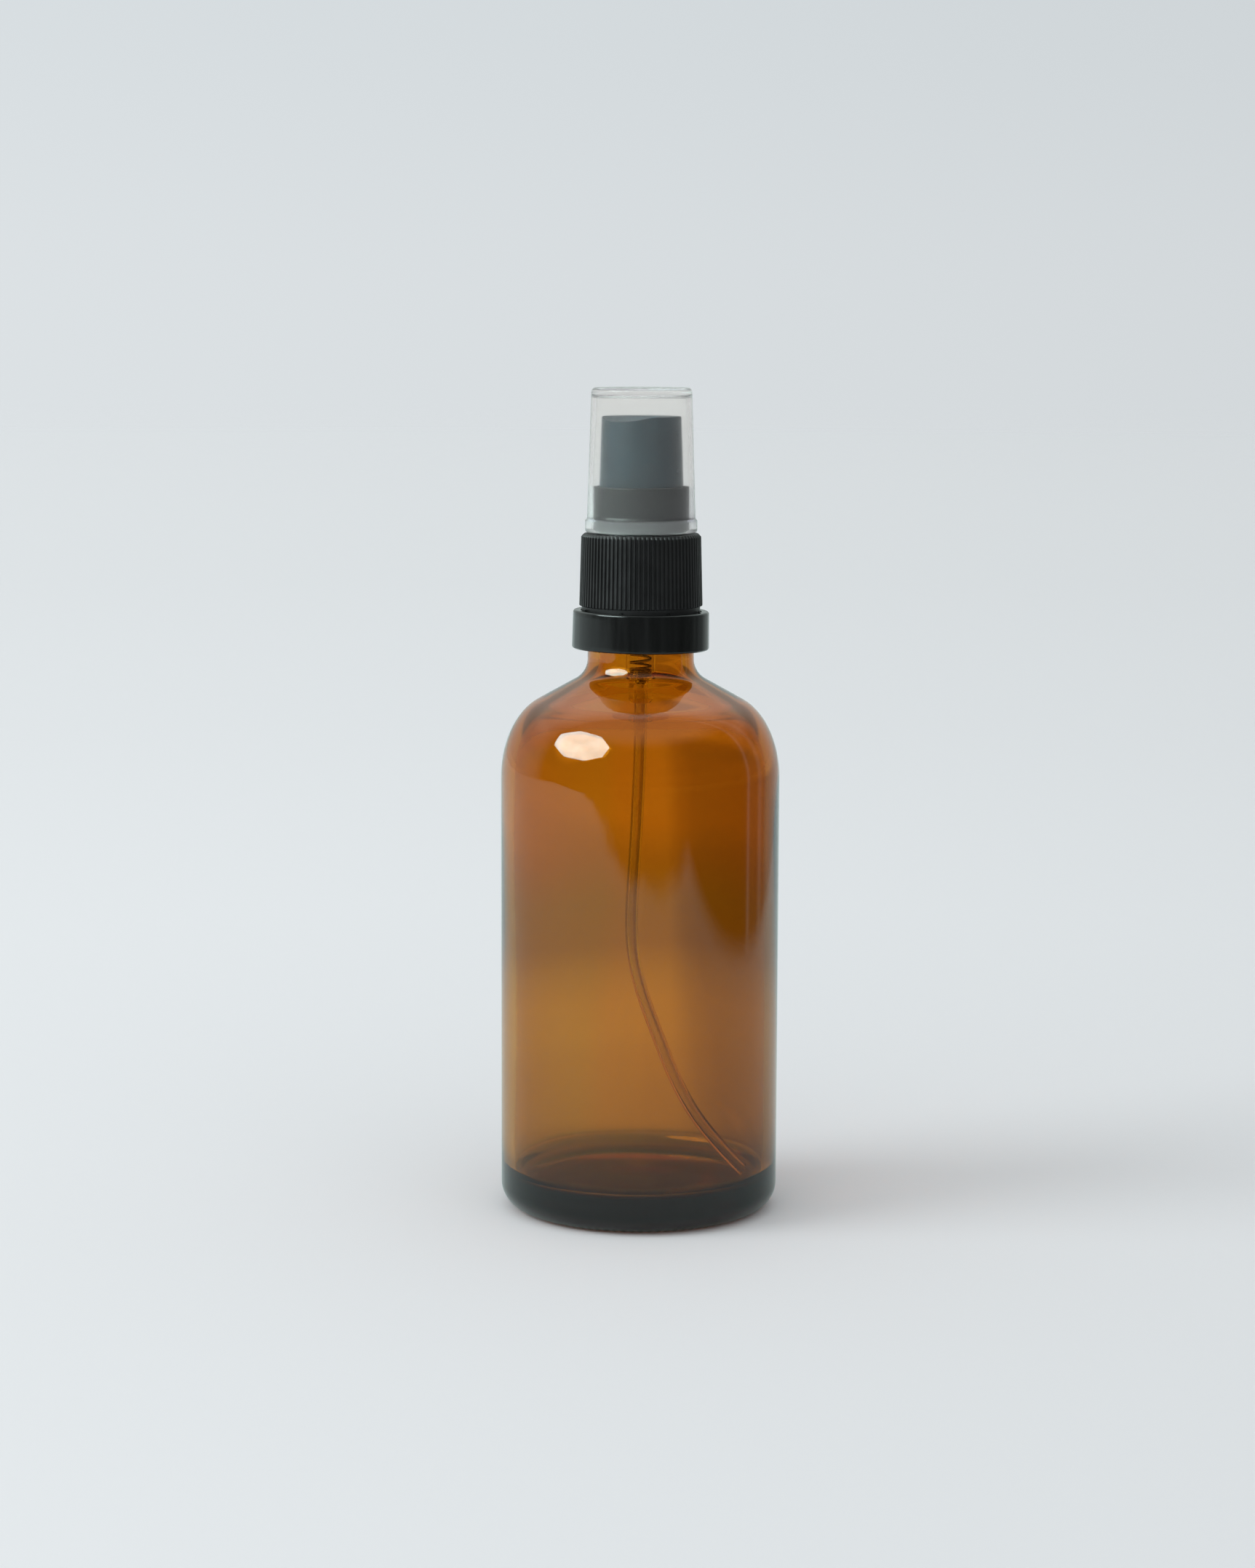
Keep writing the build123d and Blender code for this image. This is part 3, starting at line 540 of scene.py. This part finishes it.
def make_tamper_ring(plastic):
    low_z, top_z = RING_MID.z - RING_HALF, RING_MID.z + RING_HALF
    inner = [(RING_LIP_R, low_z + 2.0 * MM, 0), (RING_LIP_R, low_z + 0.7 * MM, 0.1 * MM)]
    inner += [(RING_LIP_R + 0.5 * MM, low_z, 0.1 * MM)]
    outer = [(RING_LOW_R, low_z, 0.35 * MM), (RING_TOP_R, top_z, 0.4 * MM)]
    upper = [(RING_BORE_R + 0.5 * MM, top_z, 0.02 * MM), (RING_BORE_R, top_z, 0.08 * MM)]
    upper += [(RING_BORE_R, low_z + 2.4 * MM, 0.2 * MM), (RING_LIP_R, low_z + 2.0 * MM, 0)]
    outline = rounded(inner + outer + upper, 0.7 * MM, 6)[:-1]

    def shape(angle, r, z, _):
        if r > RING_LOW_R - 0.3 * MM:
            r -= 0.02 * MM * (1 + wave(angle, (7, 0.5, 0.0), (19, 0.3, 1.0), (31, 0.2, 2.0)))
        if z > top_z - 0.05 * MM and r < RING_BORE_R + 0.45 * MM:
            off = (angle - BRIDGE_FIRST) * BRIDGE_COUNT / TAU
            off = abs(off - round(off)) * TAU / BRIDGE_COUNT * r / BRIDGE_HALF_WIDTH
            z += BRIDGE_HEIGHT * max(0.0, min(1.0, (1 - off) * 4))
        return r, z

    piece = lathe("tamper_band", outline, 480, shape)
    crease(piece, 55)
    tip_axis = Vector((-math.sin(RING_LOW_SIDE), math.cos(RING_LOW_SIDE), 0))
    tip = Matrix.Translation(RING_MID) @ Matrix.Rotation(RING_TILT, 4, tip_axis)
    piece.data.transform(tip @ Matrix.Translation(-RING_MID))
    piece.data.materials.append(plastic)
    return stands_for(piece, "tamper_ring", "tamper_ring")


def make_overcap(plastic, thicker):
    lip_top = CAP_LOW_Z + CAP_LIP_HEIGHT
    ceiling = CAP_TOP_Z - CAP_CEILING
    outside = [
        (0, CAP_TOP_Z, 0),
        (CAP_TOP_R, CAP_TOP_Z, 0.75 * MM),
        (CAP_LOW_R, lip_top + 0.35 * MM, 0.3 * MM),
    ]
    outside += [(CAP_LIP_R, lip_top, 0.2 * MM), (CAP_LIP_R, CAP_LOW_Z, 0.25 * MM)]
    inside = [
        (CAP_BORE_LOW_R + 0.35 * MM, CAP_LOW_Z, 0.12 * MM),
        (CAP_BORE_LOW_R, CAP_LOW_Z + 0.5 * MM, 0.3 * MM),
    ]
    inside += [(CAP_BORE_LOW_R, TOWER_TOP_Z, 8 * MM), (CAP_BORE_TOP_R, ceiling, 0.6 * MM), (0, ceiling, 0)]
    outline = rounded(outside + inside, 1.2 * MM, 7)
    piece = lathe("clear_overcap", outline, 200, closed=False)
    piece.data.materials.append(plastic)
    piece.data.materials.append(thicker)
    for face in piece.data.polygons:
        face.material_index = int(face.center.z < lip_top + 0.2 * MM)
    return stands_for(piece, "overcap", "overcap")


def coil_height(turns, first, last):
    """Height of the wire's centre after some turns: closed coils, open coils, closed coils."""
    closed_low = CLOSED_TURNS_LOW * CLOSED_PITCH
    closed_top = CLOSED_TURNS_TOP * CLOSED_PITCH
    if turns < CLOSED_TURNS_LOW:
        return first + turns * CLOSED_PITCH
    open_turns = turns - CLOSED_TURNS_LOW
    if open_turns < ACTIVE_TURNS:
        return first + closed_low + open_turns * (last - first - closed_low - closed_top) / ACTIVE_TURNS
    return last - (ACTIVE_TURNS + CLOSED_TURNS_TOP - open_turns) * CLOSED_PITCH


def make_spring(metal):
    sides, per_turn = 14, 36
    first, last = SPRING_LOW_Z + WIRE_R, SPRING_TOP_Z - WIRE_R
    turns = CLOSED_TURNS_LOW + ACTIVE_TURNS + CLOSED_TURNS_TOP
    count = int(turns * per_turn)
    verts, faces = [], []
    for i in range(count + 1):
        angle = TAU * i / per_turn
        outward = Vector((math.cos(angle), math.sin(angle), 0))
        centre = outward * COIL_R + Vector((0, 0, coil_height(i / per_turn, first, last)))
        for j in range(sides):
            turn = TAU * j / sides
            verts.append(centre + WIRE_R * (outward * math.cos(turn) + Vector((0, 0, math.sin(turn)))))
    for i in range(count):
        for j in range(sides):
            a, b = i * sides + j, i * sides + (j + 1) % sides
            faces.append((a, b, b + sides, a + sides))
    faces.append(list(range(sides)))
    faces.append(list(range(count * sides, (count + 1) * sides))[::-1])
    piece = mesh_piece("wire_spring", verts, faces)
    piece.data.materials.append(metal)
    stands_for(piece, "main_spring", "pump")
    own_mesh(piece)
    return piece


def paint(node, mat):
    """Gives a CAD node its finished material."""
    mesh = nodes[node].data
    mesh.materials.clear()
    mesh.materials.append(mat)


def make_object():
    """Every piece of the bottle, with its material."""
    white = moulded_plastic("inner_white", (0.78, 0.78, 0.74), 0.4)
    soft = moulded_plastic("soft_white", (0.82, 0.82, 0.78), 0.5)
    natural = clear_plastic("housing_natural", (0.94, 0.93, 0.90), 1.0, 0.06, 0.03, 1.16)
    metal = steel()
    make_bottle(amber_glass())
    make_closure(moulded_plastic("closure_black", (0.012, 0.0125, 0.0125), 0.42, 0.12, 0.4))
    make_tamper_ring(ring_plastic())
    cap = clear_plastic("overcap_clear", (0.985, 0.992, 0.98), 0.97, 0.13, 0.008, 1.18, 0.006)
    make_overcap(cap, clear_plastic("overcap_lip", (0.96, 0.985, 0.97), 0.90, 0.15, 0.015, 1.2, 0.006))
    make_spring(metal)
    # The actuator's dark colour has a painted blue haze, for the light the clear cap scatters over it.
    paint("actuator", moulded_plastic("actuator_black", (0.014, 0.031, 0.041), 0.33, 0.06))
    paint("nozzle_insert", moulded_plastic("insert_black", (0.02, 0.02, 0.02), 0.3, 0.04))
    paint("pump_housing", natural)
    paint("dip_tube", clear_plastic("tube_natural", (0.90, 0.88, 0.84), 0.97, 0.12, 0.04, 1.22))
    paint("check_ball", metal)
    for node in ("turret", "stem", "valve_rod"):
        paint(node, white)
    for node in ("piston", "neck_gasket"):
        paint(node, soft)


# ---------------------------------------------------------------- stage, light and camera

TO_CAMERA = Vector((math.sin(CAMERA_AZIMUTH), -math.cos(CAMERA_AZIMUTH), 0))
TO_RIGHT = Vector((math.cos(CAMERA_AZIMUTH), math.sin(CAMERA_AZIMUTH), 0))
UP = Vector((0, 0, 1))
FLOOR_COLOUR = (0.845, 0.853, 0.860)
BACKDROP_LOW = (0.686, 0.723, 0.745)
BACKDROP_HIGH = (0.655, 0.698, 0.722)
AMBIENT = 0.555
KEY_LEVEL = 3.4
KEY_HALF_ANGLE = math.radians(20)
FRONT_LEVEL = 0.55
CEILING_LEVEL = 0.45
HIGH_WINDOW_LEVEL = 0.35
LIGHT_TINT = (1.0, 1.04, 1.06)
# The room as polished surfaces mirror it, by azimuth from the camera in degrees: what lies behind
# and beside the bottle is pale, and the room on the camera's side is dark.
ROOM = [
    (-180, 0.66), (-112, 0.62), (-98, 0.45), (-88, 0.035), (-40, 0.02), (40, 0.02), (93, 0.02),
    (98, 0.06), (100, 0.5), (103, 0.10), (112, 0.08), (116, 0.35), (121, 0.14), (130, 0.35),
    (150, 0.62), (180, 0.66),
]
# The same for what is seen through clear plastic, near eye level.
ROOM_THROUGH = [(-180, 0.66), (-88, 0.62), (-60, 0.4), (60, 0.4), (88, 0.58), (180, 0.66)]
# Painted reflection: a tint on the floor's colour and on the room where mirrors see them.
PAINTED_REFLECTION_TINT = (0.84, 0.95, 0.92)
# Painted light and shade in the floor's colour where glass shows it, by distance from the bottle in metres:
# painted shade beside it, a painted pool of yellow light behind it, a painted dim stretch, then the far
# floor. These tones are fitted for the main view and are not measured light.
PAINTED_LIGHT_THROUGH_GLASS = [
    (0.0, (0.36, 0.42, 0.6)), (0.040, (0.45, 0.55, 0.7)), (0.062, (0.84, 1.05, 1.0)),
    (0.114, (0.9, 1.12, 1.0)), (0.145, (1.0, 1.27, 1.0)), (0.176, (1.0, 1.26, 1.0)),
    (0.209, (0.85, 1.08, 1.0)), (0.246, (0.62, 0.74, 1.0)), (0.309, (0.62, 0.76, 1.0)),
    (0.382, (0.76, 0.76, 1.0)), (0.468, (1.02, 0.96, 1.0)), (0.9, (1.03, 1.02, 1.0)),
    (1.3, (1.0, 1.0, 1.0)),
]
# The same painted light and shade by how far across the picture, from 0 to 1: painted light to the left of
# the bottle, painted shade to the right. These tones stay with the camera when the view changes.
PAINTED_LIGHT_ACROSS_GLASS = [
    (0.40, (0.92, 1.06, 1.0)), (0.45, (0.93, 1.05, 1.0)), (0.48, (1.0, 1.0, 1.0)), (0.545, (0.98, 0.98, 1.0)),
    (0.57, (0.70, 0.68, 0.70)), (0.595, (0.58, 0.55, 0.58)), (0.62, (0.56, 0.54, 0.56)),
]
# Painted reflection: where the floor stops showing in mirrors, in metres toward the camera and to the right.
TABLE_FRONT = 0.38
TABLE_RIGHT = 0.27
SOFTBOX_WAY = (-0.73, 0.42, 0.60)
SOFTBOX_REACH = 1.2
SOFTBOX_HEIGHT = 0.08
SOFTBOX_SIZE = (1.16, 0.71)
SOFTBOX_STRENGTH = 11.5


def seen_from_camera(right, towards, up):
    """A point or direction given as right of, towards, and above the object, as the camera sees it."""
    return TO_RIGHT * right + TO_CAMERA * towards + UP * up


def math_node(tree, operation, a, b=None):
    """A maths node over sockets or numbers."""
    node = add(tree, "ShaderNodeMath", operation=operation)
    for value, socket in zip((a, b), node.inputs):
        if value is None:
            continue
        if isinstance(value, (int, float)):
            socket.default_value = value
        else:
            tree.links.new(value, socket)
    return node.outputs[0]


def along(tree, vector, direction):
    """How far a vector reaches in one direction."""
    dot = add(tree, "ShaderNodeVectorMath", operation="DOT_PRODUCT")
    tree.links.new(vector, dot.inputs[0])
    dot.inputs[1].default_value = direction
    return dot.outputs["Value"]


def eased(tree, value, start, end):
    """From 0 at start to 1 at end, smoothly."""
    node = add(tree, "ShaderNodeMapRange", interpolation_type="SMOOTHSTEP")
    node.inputs["From Min"].default_value = start
    node.inputs["From Max"].default_value = end
    tree.links.new(value, node.inputs["Value"])
    return node.outputs["Result"]


def blended(tree, factor, a, b):
    """A mix of two colours, each a socket or a fixed colour."""
    node = add(tree, "ShaderNodeMix", data_type="RGBA")
    tree.links.new(factor, node.inputs["Factor"])
    for value, socket in ((a, node.inputs[6]), (b, node.inputs[7])):
        if isinstance(value, tuple):
            socket.default_value = (*value, 1)
        else:
            tree.links.new(value, socket)
    return node.outputs[2]


def window_x(tree):
    """How far across the picture a point lies, from 0 to 1."""
    where = add(tree, "ShaderNodeTexCoord")
    split = add(tree, "ShaderNodeSeparateXYZ")
    tree.links.new(where.outputs["Window"], split.inputs[0])
    return split.outputs["X"]


def falloff(tree):
    """Painted light: brightness that drops a little from the left of the picture to the right, put into the
    floor's colour and the backdrop.
    """
    node = add(tree, "ShaderNodeMapRange")
    for key, value in (("To Min", 1.045), ("To Max", 0.955)):
        node.inputs[key].default_value = value
    tree.links.new(window_x(tree), node.inputs["Value"])
    return node.outputs["Result"]


def colour_maths(tree, operation, a, b):
    """Two colours combined. Each is a socket or a fixed colour; a number socket counts for all channels."""
    node = add(tree, "ShaderNodeVectorMath", operation=operation)
    for value, socket in ((a, node.inputs[0]), (b, node.inputs[1])):
        if isinstance(value, tuple):
            socket.default_value = value
        else:
            tree.links.new(value, socket)
    return node.outputs[0]


def product(tree, a, b):
    return colour_maths(tree, "MULTIPLY", a, b)


def mirror_ray(tree, path):
    """1 for a ray that left a surface as a reflection, 0 for one that passed through glass."""
    bent = path.outputs["Is Transmission Ray"]
    return math_node(tree, "MAXIMUM", math_node(tree, "SUBTRACT", path.outputs["Is Glossy Ray"], bent), 0)


def off_the_table(tree, place):
    """Painted reflection: 1 where the floor stops showing in mirrors, at a table's front and right edges that
    exist only in reflections.
    """
    sway = add(tree, "ShaderNodeTexNoise", Scale=9.0, Detail=2)
    tree.links.new(place, sway.inputs["Vector"])
    wobble = math_node(tree, "MULTIPLY", math_node(tree, "SUBTRACT", sway.outputs["Fac"], 0.5), 0.10)
    front = math_node(tree, "ADD", along(tree, place, seen_from_camera(0.18, 1, 0)), wobble)
    past_front = eased(tree, front, TABLE_FRONT - 0.03, TABLE_FRONT + 0.03)
    right = along(tree, place, seen_from_camera(1, 0, 0))
    past_right = eased(tree, right, TABLE_RIGHT - 0.03, TABLE_RIGHT + 0.03)
    return math_node(tree, "MAXIMUM", past_front, past_right)


def floor_material():
    """A pale floor that melts into the backdrop far away. Its colour holds painted light: a brightness drop
    across the picture, painted shade and a painted pool of light where glass shows it, and a painted
    reflection tint where mirrors see it.
    """
    mat, tree, shader = material("floor")
    shader.inputs["Roughness"].default_value = 0.75
    shader.inputs["Specular IOR Level"].default_value = 0.1
    place = add(tree, "ShaderNodeTexCoord").outputs["Object"]
    path = add(tree, "ShaderNodeLightPath")
    length = add(tree, "ShaderNodeVectorMath", operation="LENGTH")
    tree.links.new(place, length.inputs[0])
    distance = length.outputs["Value"]
    stops = [(at / 4.0, tuple(c * part for c in FLOOR_COLOUR))
             for at, part in ((0.0, 0.985), (0.3, 1.0), (0.7, 0.97), (1.4, 0.945), (4.0, 0.93))]
    plain = ramp(tree, math_node(tree, "DIVIDE", distance, 4.0), stops)
    # Painted light and shade: where glass shows the floor, its colour takes the tones by distance and across
    # the picture.
    reach_of_tones = PAINTED_LIGHT_THROUGH_GLASS[-1][0]
    painted_near_stops = [(at / reach_of_tones, tone) for at, tone in PAINTED_LIGHT_THROUGH_GLASS]
    painted_near_tone = ramp(tree, math_node(tree, "DIVIDE", distance, reach_of_tones), painted_near_stops)
    painted_across_tone = ramp(tree, window_x(tree), PAINTED_LIGHT_ACROSS_GLASS)
    painted_seen_through = product(tree, product(tree, plain, painted_near_tone), painted_across_tone)
    slope = along(tree, add(tree, "ShaderNodeNewGeometry").outputs["Incoming"], UP)
    shallow = math_node(tree, "MULTIPLY", eased(tree, slope, 0.06, 0.10), eased(tree, slope, 0.36, 0.27))
    through = math_node(tree, "MULTIPLY", path.outputs["Is Transmission Ray"], shallow)
    tone = blended(tree, through, plain, painted_seen_through)
    # Painted reflection: mirrors see the floor with a tint of its colour.
    mirror = mirror_ray(tree, path)
    tone = blended(tree, mirror, tone, product(tree, plain, PAINTED_REFLECTION_TINT))
    # Painted light: the floor's colour is brighter on the left of the picture and dimmer on the right.
    tree.links.new(product(tree, tone, falloff(tree)), shader.inputs["Base Color"])
    mirrored = math_node(tree, "MULTIPLY", off_the_table(tree, place), mirror)
    gone = math_node(tree, "MAXIMUM", eased(tree, distance, 1.5, 5.5), mirrored)
    clear = add(tree, "ShaderNodeBsdfTransparent")
    mix = add(tree, "ShaderNodeMixShader")
    tree.links.new(gone, mix.inputs[0])
    tree.links.new(shader.outputs[0], mix.inputs[1])
    tree.links.new(clear.outputs[0], mix.inputs[2])
    tree.links.new(mix.outputs[0], tree.nodes["Material Output"].inputs["Surface"])
    return mat


def make_floor():
    size = 9.0
    corners = [(-size, -size, 0), (size, -size, 0), (size, size, 0), (-size, size, 0)]
    floor = mesh_piece("floor", corners, [(0, 1, 2, 3)])
    floor.data.materials.append(floor_material())


def softbox(name, centre, facing, width, height, strength):
    """A glowing eight-sided card that lights nothing and shows only as a highlight."""
    mesh = bpy.data.meshes.new(name)
    corners = []
    for i in range(8):
        angle = TAU * (i + 0.5) / 8
        corners.append((width / 2 * math.cos(angle), height / 2 * math.sin(angle), 0))
    mesh.from_pydata(corners, [], [list(range(8))])
    card = bpy.data.objects.new(name, mesh)
    bpy.context.scene.collection.objects.link(card)
    card.location = centre
    card.rotation_euler = facing.to_track_quat("Z", "Y").to_euler()
    mat = bpy.data.materials.new(name)
    mat.use_nodes = True
    tree = mat.node_tree
    tree.nodes.clear()
    where = add(tree, "ShaderNodeTexCoord")
    folds = add(tree, "ShaderNodeTexNoise", Scale=3.5, Detail=2)
    tree.links.new(where.outputs["Object"], folds.inputs["Vector"])
    glow = add(tree, "ShaderNodeEmission", Color=(0.82, 1.0, 0.98, 1))
    level = add(tree, "ShaderNodeMapRange")
    span = (("From Min", 0.3), ("From Max", 0.7), ("To Min", strength * 0.8), ("To Max", strength * 1.2))
    for key, value in span:
        level.inputs[key].default_value = value
    tree.links.new(folds.outputs["Fac"], level.inputs["Value"])
    tree.links.new(level.outputs["Result"], glow.inputs["Strength"])
    out = add(tree, "ShaderNodeOutputMaterial")
    tree.links.new(glow.outputs[0], out.inputs["Surface"])
    mesh.materials.append(mat)
    card.visible_camera = False
    card.visible_diffuse = False
    card.visible_volume_scatter = False
    card.visible_shadow = False
    return card


def make_world():
    """The backdrop the camera sees, the light that fills it, and the room that mirrors see."""
    world = bpy.data.worlds.new("studio")
    bpy.context.scene.world = world
    world.use_nodes = True
    tree = world.node_tree
    towards = add(tree, "ShaderNodeTexCoord").outputs["Generated"]
    path = add(tree, "ShaderNodeLightPath")
    rise = eased(tree, along(tree, towards, UP), 0.0, 0.10)
    backdrop = product(tree, blended(tree, rise, BACKDROP_LOW, BACKDROP_HIGH), falloff(tree))
    azimuth = math_node(tree, "ARCTAN2", along(tree, towards, TO_RIGHT), along(tree, towards, TO_CAMERA))
    turn = math_node(tree, "ADD", math_node(tree, "DIVIDE", azimuth, TAU), 0.5)
    room = ramp(tree, turn, [((degrees + 180) / 360, level) for degrees, level in ROOM])
    beyond = ramp(tree, turn, [((degrees + 180) / 360, level) for degrees, level in ROOM_THROUGH])
    key_way = along(tree, towards, seen_from_camera(-0.82, 0.27, 0.55).normalized())
    key_edge = math.cos(KEY_HALF_ANGLE)
    key_core = math.cos(KEY_HALF_ANGLE * 0.7)
    key = math_node(tree, "MULTIPLY", eased(tree, key_way, key_edge, key_core), KEY_LEVEL)
    front_way = along(tree, towards, seen_from_camera(-0.2, 0.8, 0.56))
    front = math_node(tree, "MULTIPLY", eased(tree, front_way, 0.3, 1.0), FRONT_LEVEL)
    level = math_node(tree, "ADD", math_node(tree, "ADD", key, front), AMBIENT)
    light = product(tree, LIGHT_TINT, level)
    height = along(tree, towards, UP)
    ceiling = math_node(tree, "MULTIPLY", eased(tree, height, 0.6, 0.85), CEILING_LEVEL)
    behind = eased(tree, along(tree, towards, TO_CAMERA), -0.1, -0.35)
    high_window = math_node(tree, "MULTIPLY", eased(tree, height, 0.35, 0.55), behind)
    ceiling = math_node(tree, "ADD", ceiling, math_node(tree, "MULTIPLY", high_window, HIGH_WINDOW_LEVEL))
    low_band = math_node(tree, "MULTIPLY", eased(tree, height, 0.13, 0.20), eased(tree, height, 0.85, 0.6))
    dimmer = math_node(tree, "SUBTRACT", 1, math_node(tree, "MULTIPLY", low_band, 0.65))
    overhead = math_node(tree, "ADD", key, ceiling)
    beyond = blended(tree, eased(tree, height, -0.12, -0.04), room, beyond)
    through = colour_maths(tree, "ADD", product(tree, beyond, dimmer), product(tree, LIGHT_TINT, overhead))
    room = colour_maths(tree, "ADD", room, ceiling)
    seen = blended(tree, path.outputs["Is Transmission Ray"], light, through)
    seen = blended(tree, mirror_ray(tree, path), seen, product(tree, room, PAINTED_REFLECTION_TINT))
    seen = blended(tree, path.outputs["Is Camera Ray"], seen, backdrop)
    tree.links.new(seen, tree.nodes["Background"].inputs["Color"])


def make_lights():
    """The softbox on the camera's left, as highlights show it. The world gives the light itself."""
    way = seen_from_camera(*SOFTBOX_WAY) * SOFTBOX_REACH
    softbox("softbox", UP * SOFTBOX_HEIGHT + way, -way, *SOFTBOX_SIZE, SOFTBOX_STRENGTH)


def make_camera():
    data = bpy.data.cameras.new("camera")
    data.lens = CAMERA_LENS_MM
    data.sensor_width = 36
    data.shift_x = CAMERA_SHIFT_X
    data.clip_start = 0.01
    camera = bpy.data.objects.new("camera", data)
    bpy.context.scene.collection.objects.link(camera)
    aim = Matrix.Rotation(CAMERA_AZIMUTH, 4, "Z") @ Matrix.Rotation(math.pi / 2 - CAMERA_PITCH, 4, "X")
    place = Matrix.Translation(TO_CAMERA * CAMERA_REACH + UP * CAMERA_HEIGHT)
    camera.matrix_world = place @ aim @ Matrix.Rotation(CAMERA_ROLL, 4, "Z")
    bpy.context.scene.camera = camera


def set_quality():
    """Enough bounces for glass within glass, plain colours, and a clean image."""
    scene = bpy.context.scene
    scene.view_settings.view_transform = "Standard"
    scene.cycles.use_denoising = True
    scene.cycles.max_bounces = 28
    scene.cycles.transmission_bounces = 24
    scene.cycles.glossy_bounces = 8
    scene.cycles.diffuse_bounces = 3
    scene.cycles.transparent_max_bounces = 16


make_object()
make_floor()
make_world()
make_lights()
make_camera()
set_quality()
